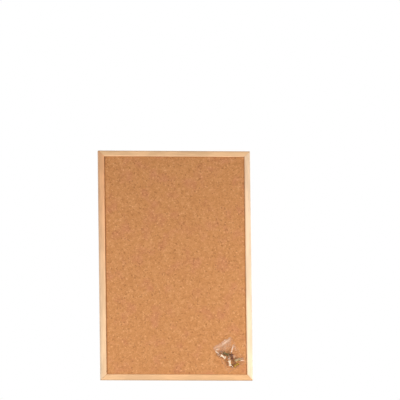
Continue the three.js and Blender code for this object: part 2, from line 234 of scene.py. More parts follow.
class Tree:
    """Adds nodes to one node tree and joins them."""

    def __init__(self, tree):
        self.tree = tree

    def node(self, kind, inputs=None, **settings):
        """A node with its settings, and its inputs set or joined."""
        node = self.tree.nodes.new(kind)
        for name, value in settings.items():
            setattr(node, name, value)
        for name, value in (inputs or {}).items():
            self.feed(node.inputs[name], value)
        return node

    def feed(self, socket, value):
        """Joins a socket to an output, or sets it to a value."""
        if isinstance(value, bpy.types.NodeSocket):
            self.tree.links.new(value, socket)
        else:
            socket.default_value = value

    def math(self, operation, first, second=0.0, clamp=False):
        inputs = {0: first, 1: second}
        return self.node("ShaderNodeMath", inputs, operation=operation, use_clamp=clamp).outputs[0]

    def vector(self, operation, first, second):
        inputs = {0: first, 1: second}
        return self.node("ShaderNodeVectorMath", inputs, operation=operation).outputs["Vector"]

    def shade(self, colour, share):
        """A colour made darker or lighter all over."""
        return self.vector("MULTIPLY", colour, (share, share, share))

    def ramp(self, value, low, high, to_low=0.0, to_high=1.0):
        """A smooth change from one value to another."""
        inputs = {"Value": value, "From Min": low, "From Max": high, "To Min": to_low, "To Max": to_high}
        return self.node("ShaderNodeMapRange", inputs, interpolation_type="SMOOTHSTEP").outputs["Result"]

    def mix(self, factor, first, second):
        inputs = {0: factor, 6: first, 7: second}
        return self.node("ShaderNodeMix", inputs, data_type="RGBA").outputs[2]

    def tint(self, mask, share, colour, other):
        """A colour turned towards another by a share of a mask."""
        return self.mix(self.math("MULTIPLY", mask, share), colour, other)

    def noise(self, vector, scale, detail=2.0, roughness=0.5):
        inputs = {"Vector": vector, "Scale": scale, "Detail": detail, "Roughness": roughness}
        return self.node("ShaderNodeTexNoise", inputs).outputs["Fac"]

    def streaks(self, vector, stretch, detail=2.0, roughness=0.5):
        """Noise with its own scale along each axis."""
        return self.noise(self.vector("MULTIPLY", vector, stretch), 1.0, detail, roughness)

    def axes(self, vector):
        """The three parts of a vector."""
        return self.node("ShaderNodeSeparateXYZ", {0: vector}).outputs

    def effect(self, name, place, inputs):
        """Places a shared effect, which is built when it is first asked for."""
        group = bpy.data.node_groups.get(name) or EFFECTS[name](name)
        return self.node("ShaderNodeGroup", {"Vector": place, **inputs}, node_tree=group).outputs

    def surface(self, shader, tone, roughness, height, depth, strength):
        """Joins a shader's colour, roughness and relief."""
        relief = {"Height": height, "Distance": depth, "Strength": strength}
        self.feed(shader["Base Color"], tone)
        self.feed(shader["Roughness"], roughness)
        self.feed(shader["Normal"], self.node("ShaderNodeBump", relief).outputs["Normal"])


def rgba(colour, share=1.0):
    """A colour setting with full opacity, darker or lighter by a share."""
    return tuple(min(1.0, channel * share) for channel in colour) + (1.0,)


def grey(level):
    """A grey with full opacity."""
    return (level, level, level, 1.0)


VALUE = "NodeSocketFloat"
PLACE = "NodeSocketVector"


def start_effect(name, inputs, outputs):
    """An empty node group with named sockets."""
    tree = bpy.data.node_groups.new(name, "ShaderNodeTree")
    for label, kind in inputs:
        tree.interface.new_socket(label, in_out="INPUT", socket_type=kind)
    for label in outputs:
        tree.interface.new_socket(label, in_out="OUTPUT", socket_type=VALUE)
    build = Tree(tree)
    entry = build.node("NodeGroupInput").outputs
    leave = build.node("NodeGroupOutput").inputs
    return build, entry, leave


def seeded_place(build, entry):
    """The effect's place, moved by its seed along each axis."""
    seed = entry["Seed"]
    shift = build.node("ShaderNodeCombineXYZ", {0: seed, 1: seed, 2: seed}).outputs[0]
    return build.vector("ADD", entry["Vector"], shift)


def pine_grain(name):
    """Growth rings, streaks and fibres of wood whose grain runs along the first axis."""
    build, entry, leave = start_effect(
        name,
        [("Vector", PLACE), ("Ring spacing", VALUE), ("Seed", VALUE)],
        ["Ring", "Streak", "Fibre", "Patch"],
    )
    place = seeded_place(build, entry)
    wander = build.streaks(place, (2.6, 14.0, 14.0))
    parts = build.axes(place)
    across = build.math("ADD", parts[2], build.math("MULTIPLY", parts[1], 0.6))
    across = build.math("ADD", across, build.math("MULTIPLY", wander, 0.016))
    count = build.math("DIVIDE", across, entry["Ring spacing"])
    share = build.math("FRACT", count)
    rise = build.ramp(share, 0.35, 0.86)
    fall = build.ramp(share, 0.9, 1.0, 1.0, 0.0)
    number = build.math("FLOOR", count)
    chance = build.node("ShaderNodeTexWhiteNoise", {"W": number}, noise_dimensions="1D").outputs["Value"]
    weight = build.ramp(chance, 0.0, 1.0, 0.35, 1.0)
    build.feed(leave["Ring"], build.math("MULTIPLY", build.math("MULTIPLY", rise, fall), weight))
    # Each mask: its scale along and across the grain, its detail, and the levels it runs between
    masks = (
        ("Streak", 3.0, 120.0, 3.0, 0.3, 0.72),
        ("Fibre", 30.0, 1500.0, 2.0, 0.32, 0.7),
        ("Patch", 11.0, 60.0, 3.0, 0.34, 0.66),
    )
    for label, length, width, detail, low, high in masks:
        cloud = build.streaks(place, (length, width, width), detail, 0.6)
        build.feed(leave[label], build.ramp(cloud, low, high))
    return build.tree


def pressed_grains(name):
    """Irregular grains pressed together: a tone for each, the seams, and a few dark or pale ones."""
    build, entry, leave = start_effect(
        name,
        [("Vector", PLACE), ("Grain size", VALUE), ("Seed", VALUE)],
        ["Tone", "Seam", "Bark", "Pale"],
    )
    moved = seeded_place(build, entry)
    scaling = {0: moved, "Scale": build.math("DIVIDE", 1.0, entry["Grain size"])}
    place = build.node("ShaderNodeVectorMath", scaling, operation="SCALE").outputs["Vector"]
    cloud = {"Vector": place, "Scale": 1.3, "Detail": 2.0}
    bend = build.node("ShaderNodeTexNoise", cloud).outputs["Color"]
    place = build.vector("ADD", place, build.shade(bend, 0.9))
    spread = {"Vector": place, "Scale": 1.0}
    cells = build.node("ShaderNodeTexVoronoi", spread, feature="F1")
    tone = build.node("ShaderNodeSeparateColor", {0: cells.outputs["Color"]}).outputs
    edge = build.node("ShaderNodeTexVoronoi", spread, feature="DISTANCE_TO_EDGE")
    build.feed(leave["Tone"], tone[0])
    build.feed(leave["Seam"], build.ramp(edge.outputs["Distance"], 0.0, 0.12, 1.0, 0.0))
    build.feed(leave["Bark"], build.ramp(tone[1], 0.955, 0.985))
    build.feed(leave["Pale"], build.ramp(tone[2], 0.955, 0.985))
    return build.tree


def rubbed_metal(name):
    """Blotches and fine scratches of plated steel."""
    build, entry, leave = start_effect(
        name,
        [("Vector", PLACE), ("Blotch size", VALUE)],
        ["Blotch", "Scratch"],
    )
    scale = build.math("DIVIDE", 1.0, entry["Blotch size"])
    build.feed(leave["Blotch"], build.ramp(build.noise(entry["Vector"], scale, 4.0, 0.6), 0.3, 0.7))
    scratch = build.streaks(entry["Vector"], (5200.0, 5200.0, 420.0))
    build.feed(leave["Scratch"], build.ramp(scratch, 0.42, 0.68))
    return build.tree


def moulded_skin(name):
    """Cloudy tone and faint unevenness of moulded plastic."""
    build, entry, leave = start_effect(
        name,
        [("Vector", PLACE), ("Seed", VALUE)],
        ["Cloud", "Skin"],
    )
    place = seeded_place(build, entry)
    build.feed(leave["Cloud"], build.ramp(build.noise(place, 260.0, 3.0), 0.3, 0.7))
    build.feed(leave["Skin"], build.noise(place, 2400.0))
    return build.tree


EFFECTS = {
    "pine_grain": pine_grain,
    "pressed_grains": pressed_grains,
    "rubbed_metal": rubbed_metal,
    "moulded_skin": moulded_skin,
}


def new_material(name):
    """A material, a Tree to build it with, its Principled shader's inputs and the place on the piece."""
    material = bpy.data.materials.new(name)
    material.use_nodes = True
    build = Tree(material.node_tree)
    shader = material.node_tree.nodes["Principled BSDF"]
    place = build.node("ShaderNodeTexCoord").outputs["Object"]
    return material, build, shader.inputs, place


def pine_material(side, start, end, ring, seed, outer_shade):
    """Planed pine: from one tone to another along the rail, and darker towards the outer side with painted
    shade.
    """
    sizes = bpy.context.scene.pin_board_sizes
    material, build, shader, place = new_material(f"{side}_pine")
    low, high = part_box(f"{side}_rail")
    if side in ("left", "right"):
        rim = sorted((abs(low.x), abs(high.x)))
        parts = build.axes(place)
        place = build.node("ShaderNodeCombineXYZ", {0: parts[2], 1: parts[1], 2: parts[0]}).outputs[0]
    else:
        rim = sorted((abs(low.z), abs(high.z)))
    along, _, across = build.axes(place)
    body = build.mix(build.ramp(along, 0.28, -0.2), rgba(start), rgba(end))
    # Painted shade: the rail's outer side is made darker, most on the left rail
    shaded_body = build.vector("MULTIPLY", body, (0.85, 0.92, 1.02))
    outward = build.math("ABSOLUTE", across)
    body = build.mix(build.ramp(outward, rim[0], rim[1], 0.0, outer_shade), body, shaded_body)
    grain = build.effect("pine_grain", place, {"Ring spacing": sizes.ring_spacing, "Seed": seed})
    tone = build.vector("MULTIPLY", body, build.ramp(grain["Patch"], 0.0, 1.0, 0.83, 1.07))
    tone = build.tint(grain["Ring"], 0.6, tone, rgba(ring))
    tone = build.tint(grain["Streak"], 0.3, tone, build.shade(body, 0.83))
    tone = build.tint(grain["Fibre"], 0.3, tone, build.shade(body, 1.07))
    rough = build.ramp(grain["Fibre"], 0.0, 1.0, 0.52, 0.66)
    height = build.math("ADD", grain["Fibre"], build.math("MULTIPLY", grain["Ring"], 0.8))
    build.surface(shader, tone, rough, height, 0.06 * MM, 0.5)
    return material


def painted_frame_shade(build, place):
    """Painted shade: where the cork is darker along the frame, beside the left rail and under the top rail.
    """
    x, _, z = build.axes(place)
    # The left rail mirrors the right one
    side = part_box("right_rail")[0].x
    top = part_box("top_rail")[0].z
    beside = build.ramp(x, 5.5 * MM - side, 1.5 * MM - side, 0.0, 0.6)
    under = build.ramp(z, top - 3 * MM, top, 0.0, 0.4)
    return build.math("MAXIMUM", beside, under)


def cork_material():
    """Pressed cork: two sizes of grain, seams, a slow mottle, single flecks and painted shade at the frame.
    """
    colours = bpy.context.scene.pin_board_colours
    sizes = bpy.context.scene.pin_board_sizes
    material, build, shader, place = new_material("pressed_cork")
    large = build.effect("pressed_grains", place, {"Grain size": sizes.grain_size, "Seed": 0.31})
    small = build.effect("pressed_grains", place, {"Grain size": sizes.fine_grain, "Seed": 1.7})
    fleck = build.effect("pressed_grains", place, {"Grain size": sizes.fleck_size, "Seed": 7.9})
    mottle = build.noise(place, 70.0, 3.0, 0.6)
    light = build.math("MULTIPLY", large["Tone"], 0.4)
    light = build.math("ADD", light, build.math("MULTIPLY", small["Tone"], 0.3))
    light = build.math("ADD", light, build.math("MULTIPLY", mottle, 0.4))
    dark = rgba(colours.cork_dark)
    pale = rgba(colours.cork_light)
    blush = build.ramp(build.noise(place, 26.0), 0.48, 0.74, 0.0, 0.8)
    tone = build.mix(blush, rgba(colours.cork), rgba(colours.cork_rosy))
    tone = build.mix(build.ramp(light, 0.54, 0.95, 0.0, 0.5), tone, pale)
    tone = build.mix(build.ramp(light, 0.18, 0.54, 0.4, 0.0), tone, dark)
    tone = build.tint(fleck["Pale"], 0.6, tone, pale)
    bark = build.math("MAXIMUM", fleck["Bark"], build.math("MULTIPLY", small["Bark"], 0.7))
    tone = build.tint(bark, 0.52, tone, dark)
    seam = build.math("MULTIPLY", large["Seam"], 0.18)
    seam = build.math("ADD", seam, build.math("MULTIPLY", small["Seam"], 0.14))
    tone = build.mix(seam, tone, dark)
    # Painted shade: the cork turns dark beside the left rail and under the top rail
    tone = build.mix(painted_frame_shade(build, place), tone, dark)
    rough = build.ramp(light, 0.3, 0.9, 0.94, 0.8)
    sunk = build.math("ADD", large["Seam"], small["Seam"])
    height = build.math("SUBTRACT", light, build.math("MULTIPLY", sunk, 0.45))
    build.surface(shader, tone, rough, height, 0.22 * MM, 0.6)
    shader["Specular IOR Level"].default_value = 0.25
    return material


def fibreboard_material():
    """Soft fibreboard: matted fibres, single dark and pale chips, and slow cloudy stains."""
    colours = bpy.context.scene.pin_board_colours
    material, build, shader, place = new_material("soft_fibreboard")
    clump = build.effect("pressed_grains", place, {"Grain size": 3.2 * MM, "Seed": 4.2})
    chip = build.effect("pressed_grains", place, {"Grain size": 2.6 * MM, "Seed": 6.6})
    fibre = build.streaks(place, (420.0, 900.0, 1700.0), 4.0, 0.7)
    cross = build.streaks(place, (1900.0, 900.0, 380.0), 3.0, 0.7)
    mat = build.ramp(build.math("ADD", fibre, cross), 0.7, 1.3)
    dark = rgba(colours.fibreboard, 0.62)
    pale = rgba(colours.fibreboard, 1.45)
    tone = build.tint(mat, 0.7, dark, pale)
    tone = build.mix(0.5, tone, rgba(colours.fibreboard))
    tone = build.tint(clump["Tone"], 0.3, tone, dark)
    tone = build.tint(chip["Bark"], 0.6, tone, dark)
    tone = build.tint(chip["Pale"], 0.5, tone, pale)
    stain = build.noise(place, 13.0, 4.0, 0.62)
    tone = build.mix(build.ramp(stain, 0.48, 0.72, 0.0, 0.5), tone, dark)
    tone = build.mix(build.ramp(stain, 0.28, 0.5, 0.36, 0.0), tone, pale)
    rough = build.ramp(mat, 0.0, 1.0, 0.98, 0.86)
    build.surface(shader, tone, rough, mat, 0.2 * MM, 0.7)
    shader["Specular IOR Level"].default_value = 0.2
    return material


def steel_material(name, colour, smoothest, roughest, blotch):
    """Plated or bare steel with a rubbed surface."""
    material, build, shader, place = new_material(name)
    rub = build.effect("rubbed_metal", place, {"Blotch size": blotch})
    tone = build.tint(rub["Blotch"], 0.6, rgba(colour), rgba(colour, 0.72))
    wear = build.math("MULTIPLY", build.math("ADD", rub["Blotch"], rub["Scratch"]), 0.5)
    rough = build.ramp(wear, 0.0, 1.0, smoothest, roughest)
    build.surface(shader, tone, rough, rub["Scratch"], 0.02 * MM, 0.35)
    shader["Metallic"].default_value = 1.0
    return material


def plastic_material(name, colour, seed):
    """Glossy moulded plastic."""
    material, build, shader, place = new_material(name)
    skin = build.effect("moulded_skin", place, {"Seed": seed})
    tone = build.mix(skin["Cloud"], rgba(colour), rgba(colour, 0.84))
    rough = build.ramp(skin["Cloud"], 0.0, 1.0, 0.24, 0.36)
    build.surface(shader, tone, rough, skin["Skin"], 0.03 * MM, 0.3)
    shader["Specular IOR Level"].default_value = 0.25
    return material


def film_material():
    """Clear bag film: hazy where its points say so, and whiter where it is creased or welded; at the folds
    the whiter film is also a painted highlight.
    """
    colours = bpy.context.scene.pin_board_colours
    material, build, shader, place = new_material("clear_film")
    skin = build.effect("moulded_skin", place, {"Seed": 2.4})
    crease = build.node("ShaderNodeAttribute", attribute_name="crease").outputs["Fac"]
    # Painted highlight: the film turns peach-white and more opaque along the folds
    tone = build.mix(crease, rgba(colours.film), (1.0, 0.8, 0.6, 1.0))
    haze = build.node("ShaderNodeAttribute", attribute_name="haze").outputs["Fac"]
    haze = build.math("MULTIPLY", haze, build.ramp(skin["Cloud"], 0.0, 1.0, 0.86, 1.0))
    alpha = build.math("ADD", haze, build.math("MULTIPLY", crease, 0.8), clamp=True)
    build.feed(shader["Alpha"], alpha)
    rough = build.ramp(skin["Cloud"], 0.0, 1.0, 0.2, 0.34)
    build.surface(shader, tone, rough, skin["Skin"], 0.04 * MM, 0.3)
    return material


def glue_material():
    """Clear sticky dot."""
    colours = bpy.context.scene.pin_board_colours
    material, build, shader, place = new_material("clear_glue")
    skin = build.effect("moulded_skin", place, {"Seed": 5.1})
    tone = build.mix(skin["Cloud"], rgba(colours.glue), (0.6, 0.4, 0.22, 1.0))
    build.feed(shader["Alpha"], build.ramp(skin["Cloud"], 0.0, 1.0, 0.06, 0.16))
    rough = build.ramp(skin["Cloud"], 0.0, 1.0, 0.2, 0.4)
    build.surface(shader, tone, rough, skin["Skin"], 0.05 * MM, 0.4)
    return material


def dress(node, material):
    """Gives a CAD node its finish."""
    mesh = frame["nodes"][node].data
    mesh.materials.clear()
    mesh.materials.append(material)


def new_piece(name, points, faces, material):
    """A smooth mesh object from points in metres."""
    mesh = bpy.data.meshes.new(name)
    mesh.from_pydata([tuple(point) for point in points], [], faces)
    mesh.polygons.foreach_set("use_smooth", [True] * len(mesh.polygons))
    mesh.materials.append(material)
    mesh.update()
    piece = bpy.data.objects.new(name, mesh)
    bpy.context.scene.collection.objects.link(piece)
    return piece


def seat(piece, body, slot, *nodes):
    """Ties a piece to its body and hides the CAD nodes that it stands for. The slot of its finish is not
    used.
    """
    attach(piece, body)
    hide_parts(*nodes)


def node_points(node):
    """A CAD node's points in the part's frame, as an array."""
    mesh = frame["nodes"][node].data
    points = np.empty(len(mesh.vertices) * 3)
    mesh.vertices.foreach_get("co", points)
    return points.reshape(-1, 3)


def grid_faces(columns, rows):
    """Quads of a grid of points that runs across and then up."""
    faces = []
    for j in range(rows - 1):
        for i in range(columns - 1):
            a = j * columns + i
            faces.append((a, a + 1, a + columns + 1, a + columns))
    return faces


def ring_faces(rings, sides):
    """Quads that join rings of points, each ring closed on itself."""
    faces = []
    for j in range(rings - 1):
        for i in range(sides):
            k = (i + 1) % sides
            faces.append((j * sides + i, j * sides + k, (j + 1) * sides + k, (j + 1) * sides + i))
    return faces


def capped_faces(rings, sides):
    """Quads that join rings of points, and a flat face on each end."""
    last = (rings - 1) * sides
    caps = [tuple(range(sides - 1, -1, -1)), tuple(range(last, last + sides))]
    return ring_faces(rings, sides) + caps


def value_noise(x, y, cell, seed):
    """Smooth noise from 0 to 1 on arrays of places, with features of the given size."""
    size = 256
    randoms = np.random.default_rng(seed).random((size, size))
    u = x / cell
    v = y / cell
    i = np.floor(u).astype(int)
    j = np.floor(v).astype(int)
    s = u - i
    t = v - j
    s = s * s * (3 - 2 * s)
    t = t * t * (3 - 2 * t)
    low = randoms[i % size, j % size] * (1 - s) + randoms[(i + 1) % size, j % size] * s
    high = randoms[i % size, (j + 1) % size] * (1 - s) + randoms[(i + 1) % size, (j + 1) % size] * s
    return low * (1 - t) + high * t


def cork_sheet(material):
    """The cork's front face with its grains in relief, and plain sides and back."""
    sizes = bpy.context.scene.pin_board_sizes
    low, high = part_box("cork_sheet")
    columns = round((high.x - low.x) / sizes.cork_pitch) + 1
    rows = round((high.z - low.z) / sizes.cork_pitch) + 1
    x, z = np.meshgrid(np.linspace(low.x, high.x, columns), np.linspace(low.z, high.z, rows))
    lump = value_noise(x, z, sizes.grain_size, 11) - 0.5
    grit = value_noise(x, z, sizes.fine_grain * 1.3, 12) - 0.5
    pit = np.clip(value_noise(x, z, sizes.grain_size * 0.7, 13) - 0.78, 0, 1) * 3
    relief = sizes.cork_relief * (0.7 * lump + 0.6 * grit - pit)
    deepest = high.y - 0.8 * MM
    front = np.minimum(low.y + sizes.cork_relief * 0.5 - relief, deepest)
    face = np.stack([x, front, z], axis=-1).reshape(-1, 3)
    back = [
        (low.x, high.y, low.z),
        (high.x, high.y, low.z),
        (high.x, high.y, high.z),
        (low.x, high.y, high.z),
    ]
    total = columns * rows
    order = np.arange(total).reshape(rows, columns)
    faces = grid_faces(columns, rows)
    for k, side in enumerate((order[0], order[:, -1], order[-1, ::-1], order[::-1, 0])):
        faces.append((*side[::-1].tolist(), total + k, total + (k + 1) % 4))
    faces.append((total + 3, total + 2, total + 1, total))
    return new_piece("cork_face", np.concatenate([face, back]), faces, material)


def arc(x, z, radius, start, end, steps):
    """Points of a circle from one angle to another, in degrees."""
    angles = [math.radians(start + (end - start) * i / steps) for i in range(steps + 1)]
    return [(x + radius * math.cos(angle), z + radius * math.sin(angle)) for angle in angles]


def ring_path(node, joint):
    """The middle line of a hanger ring: a bar through the loop and a round bowl below."""
    low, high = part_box(node)
    wire = high.y - low.y
    centre = (low.x + high.x) / 2
    half = (high.x - low.x - wire) / 2
    corner = wire
    shoulder = joint.z - corner
    bowl = low.z + wire / 2 + half
    line = arc(half - corner, shoulder, corner, 90, 0, CORNER_STEPS)
    line += arc(0, bowl, half, 0, -180, BOWL_STEPS)
    line += arc(corner - half, shoulder, corner, 180, 90, CORNER_STEPS)
    return [Vector((centre + x, joint.y, z)) for x, z in line], wire / 2


def bent_wire(name, path, radius, material):
    """A round wire bent along a closed flat path that faces along Y."""
    facing = Vector((0, 1, 0))
    count = len(path)
    points = []
    for i, centre in enumerate(path):
        along = (path[(i + 1) % count] - path[i - 1]).normalized()
        out = facing.cross(along)
        for k in range(WIRE_SIDES):
            angle = 2 * math.pi * k / WIRE_SIDES
            points.append(centre + radius * (math.cos(angle) * out + math.sin(angle) * facing))
    faces = ring_faces(count, WIRE_SIDES)
    last = (count - 1) * WIRE_SIDES
    for k in range(WIRE_SIDES):
        n = (k + 1) % WIRE_SIDES
        faces.append((last + k, last + n, n, k))
    return new_piece(name, points, faces, material)


class PinShape:
    """Where a CAD pin lies and how big it is, in the part's frame."""

    def __init__(self, number):
        head = node_points(f"pin_head_{number}")
        needle = node_points(f"pin_needle_{number}")
        middle = needle.mean(axis=0)
        axis = np.linalg.svd(needle - middle)[2][0]
        if np.dot(head.mean(axis=0) - middle, axis) < 0:
            axis = -axis
        along_head = (head - middle) @ axis
        along_needle = (needle - middle) @ axis
        self.axis = Vector(axis)
        self.collar = Vector(middle + axis * along_head.min())
        self.head_length = float(np.ptp(along_head))
        self.needle_length = float(along_head.min() - along_needle.min())
        off = (head - middle) - np.outer(along_head, axis)
        reach = np.linalg.norm(off, axis=1)
        self.collar_radius = float(reach.max())
        self.knob_radius = float(reach[along_head > along_head.max() - KNOB_REACH].max())
        spread = (needle - middle) - np.outer(along_needle, axis)
        self.needle_radius = float(np.linalg.norm(spread, axis=1).max())

    def head_profile(self):
        """Radius and height of the head's outline, from the needle round to the top of the knob."""
        profile = [(self.needle_radius, 0.0)]
        for radius, outline in ((self.collar_radius, COLLAR_OUTLINE), (self.knob_radius, KNOB_OUTLINE)):
            profile += [(radius * out, self.head_length * up) for out, up in outline]
        return profile

    def needle_profile(self):
        """Radius and height of the needle, from its point up into the head."""
        radius = self.needle_radius
        length = self.needle_length
        return [
            (0.0, -length),
            (radius * 0.3, -length * 0.96),
            (radius * 0.72, -length * 0.86),
            (radius, -length * 0.76),
            (radius, NEEDLE_IN_HEAD),
        ]

    def side_outline(self):
        """Height and radius along the pin, from its point to the knob's edge."""
        outline = [(height, radius) for radius, height in self.needle_profile()[:-1]]
        outline += [(height, radius) for radius, height in self.head_profile()[2:-3]]
        return outline


def turned(name, profile, pin, sides, material):
    """A turned form from radius and height, standing on the pin's axis."""
    thinnest = 0.001 * MM
    out = pin.axis.cross(Vector((0, 1, 0))).normalized()
    side = pin.axis.cross(out)
    points = []
    for radius, height in profile:
        reach = max(radius, thinnest)
        for k in range(sides):
            angle = 2 * math.pi * k / sides
            spoke = math.cos(angle) * out + math.sin(angle) * side
            points.append(pin.collar + pin.axis * height + spoke * reach)
    return new_piece(name, points, capped_faces(len(profile), sides), material)


class BagFrame:
    """The bag's own axes: across, up towards the mouth, and out from the cork."""

    def __init__(self):
        low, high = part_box("bag_back_film")
        wide = high.x - low.x
        tall = high.z - low.z
        spread = math.cos(2 * BAG_TURN)
        self.width = (wide * math.cos(BAG_TURN) - tall * math.sin(BAG_TURN)) / spread
        self.height = (tall * math.cos(BAG_TURN) - wide * math.sin(BAG_TURN)) / spread
        self.zip_line = self.height / 2 - ZIP_DROP
        self.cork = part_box("cork_sheet")[0].y
        self.full = self.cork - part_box("bag_front_film")[0].y
        self.centre = Vector(((low.x + high.x) / 2, self.cork, (low.z + high.z) / 2))
        self.right = Vector((math.cos(BAG_TURN), 0, math.sin(BAG_TURN)))
        self.up = Vector((-math.sin(BAG_TURN), 0, math.cos(BAG_TURN)))

    def local(self, point):
        """A point of the part, as across, up and out."""
        offset = point - self.centre
        return offset.dot(self.right), offset.dot(self.up), self.cork - point.y

    def world(self, across, up, out):
        """Arrays of across, up and out, as points of the part."""
        right = np.array(self.right)
        upward = np.array(self.up)
        place = np.array(self.centre) + across[..., None] * right + up[..., None] * upward
        place[..., 1] -= out
        return place.reshape(-1, 3)


def pin_cover(bag, pins, across, up):
    """Height of the pins' tops above the cork on a grid of places, and 0 where there is no pin."""
    cover = np.zeros_like(across)
    for pin in pins:
        start = bag.local(pin.collar)
        end = bag.local(pin.collar + pin.axis)
        heading = (end[0] - start[0], end[1] - start[1])
        along = (across - start[0]) * heading[0] + (up - start[1]) * heading[1]
        aside = (across - start[0]) * heading[1] - (up - start[1]) * heading[0]
        heights, radii = zip(*pin.side_outline())
        radius = np.interp(along, heights, radii, left=0, right=0)
        rise = np.sqrt(np.clip(radius**2 - aside**2, 0, None))
        cover = np.maximum(cover, np.where(np.abs(aside) < radius, start[2] + rise, 0))
    return cover


def fold_and_highlight_field(bag, across, up):
    """How strongly each place lies on a fold, from 0 to about 1. It raises the film and also marks where a
    highlight is painted.
    """
    wide = bag.width / 2
    tall = bag.height / 2
    field = np.zeros_like(across)
    for start, end, strength, width in FOLDS_AND_HIGHLIGHTS:
        x = start[0] * wide
        z = start[1] * tall
        run_x = end[0] * wide - x
        run_z = end[1] * tall - z
        run = math.hypot(run_x, run_z)
        along = ((across - x) * run_x + (up - z) * run_z) / run**2
        aside = ((across - x) * run_z - (up - z) * run_x) / run
        taper = np.clip(np.sin(np.clip(along, 0, 1) * math.pi), 0, None) ** 0.6
        field = np.maximum(field, strength * taper * np.exp(-((aside / (width * MM)) ** 2)))
    return field


def film_grid(bag, pitch):
    """A plain grid of places over the bag."""
    wide = np.linspace(-bag.width / 2, bag.width / 2, round(bag.width / pitch) + 1)
    tall = np.linspace(-bag.height / 2, bag.height / 2, round(bag.height / pitch) + 1)
    return np.meshgrid(wide, tall)


def drawn_in(bag, across, up):
    """Moves the outline in where the pins take up the film, with a slight waver."""
    share = np.clip((bag.height * 0.1 - up) / (bag.height * 0.6), 0, 1)
    draw = 0.035 * np.sin(share * math.pi)
    waver = 0.4 * MM * np.sin(up * 310 + 0.7) + 0.3 * MM * np.sin(up * 720)
    ripple = 0.6 * MM * np.sin(across * 260) + 0.4 * MM * np.sin(across * 610 + 1)
    near_side = np.abs(2 * across / bag.width) ** 3
    near_end = np.abs(2 * up / bag.height) ** 3
    return across * (1 - draw) + waver * near_side, up + ripple * near_end


def back_height(bag, across, up):
    """The back film's height above the cork: flat on the dot, curling up a little at the corners."""
    corner = (np.abs(2 * across / bag.width) * np.abs(2 * up / bag.height)) ** 4
    wave = 0.12 * MM * np.sin(across * 190) * np.cos(up * 150)
    return BACK_LIFT + CORNER_CURL * corner + wave


def veil(bag, across, up):
    """How hazy the film is: most between the mouth and the pins, left of a fold up to a corner."""
    foot = (0.29 * bag.width / 2, 0.12 * bag.height / 2)
    top = (0.96 * bag.width / 2, 0.96 * bag.height / 2)
    run = math.hypot(top[0] - foot[0], top[1] - foot[1])
    left = ((up - foot[1]) * (top[0] - foot[0]) - (across - foot[0]) * (top[1] - foot[1])) / run
    near_mouth = np.clip((2 * up / bag.height - 0.25) / 0.35, 0, 1)
    return near_mouth * np.clip(left / (3 * MM) + 0.4, 0, 1)


def settled(height, floor, fixed):
    """Lets a film sink until it is smooth and rests on what is below it."""
    for _ in range(SETTLE_STEPS):
        mean = height.copy()
        mean[1:-1, 1:-1] = (
            height[:-2, 1:-1] + height[2:, 1:-1] + height[1:-1, :-2] + height[1:-1, 2:]
        ) / 4
        height = np.where(fixed, height, np.maximum(floor, mean - SETTLE_PULL))
    return height


def draped(bag, pins, across, up, rest, on_weld):
    """The front film's height over the pins, closed at the welds and the zip, open at the mouth."""
    cover = pin_cover(bag, pins, across, up)
    floor = np.maximum(rest, np.where(cover > 0, cover + PIN_GAP, 0))
    closed = on_weld | (np.abs(up - bag.zip_line) < ZIP_HALF)
    above_zip = up > bag.zip_line
    height = settled(np.where(closed, rest, floor), floor, closed | above_zip)
    mouth = np.clip((up - bag.zip_line) / ZIP_DROP, 0, 1)
    gap = bpy.context.scene.pin_board_sizes.mouth_gap
    gape = gap * mouth * np.cos(across / bag.width * math.pi) ** 2
    return np.where(above_zip, np.maximum(height, rest + gape), height)


def zip_ribs(bag, up):
    """The two ribs of the zip, from 0 to about 1."""
    ribs = np.zeros_like(up)
    for offset in (RIB_OFFSET, -RIB_OFFSET):
        ribs = ribs + np.exp(-(((up - bag.zip_line - offset) / RIB_WIDTH) ** 2))
    return ribs


def mark_points(piece, name, values):
    """Gives each point of a piece a value that its material reads."""
    piece.data.attributes.new(name, "FLOAT", "POINT").data.foreach_set("value", values.reshape(-1))


def bag_films(bag, pins, material):
    """The two walls of the bag: the back lies on the cork, the front is draped over the pins."""
    sizes = bpy.context.scene.pin_board_sizes
    across, up = film_grid(bag, sizes.film_pitch)
    edge = np.minimum(bag.width / 2 - np.abs(across), up + bag.height / 2)
    on_weld = edge < WELD_WIDTH
    back = back_height(bag, across, up)
    height = draped(bag, pins, across, up, back + FILM_GAP, on_weld)
    fold = fold_and_highlight_field(bag, across, up)
    calm = np.clip(edge / (4 * MM), 0, 1) * np.clip(np.abs(up - bag.zip_line) / (3 * MM), 0, 1)
    height = height + sizes.crease_height * fold * calm
    ribs = zip_ribs(bag, up)
    height = height + RIB_HEIGHT * ribs * np.clip(edge / WELD_WIDTH, 0, 1)
    height = np.minimum(height, bag.full)
    hazy = veil(bag, across, up)
    outline = drawn_in(bag, across, up)
    rows, columns = across.shape
    faces = grid_faces(columns, rows)
    front = new_piece("bag_front", bag.world(*outline, height), faces, material)
    # Whiter film at the folds, zip ribs and welds; at the folds it is a painted highlight
    mark_points(front, "crease", np.clip(fold * 0.8 + 0.15 * ribs + 0.05 * on_weld, 0, 1))
    mark_points(front, "haze", 0.06 + 0.32 * hazy)
    rear = new_piece("bag_back", bag.world(*outline, back), faces, material)
    mark_points(rear, "crease", 0.1 * on_weld)
    mark_points(rear, "haze", 0.02 + 0.06 * hazy)
    return front, rear


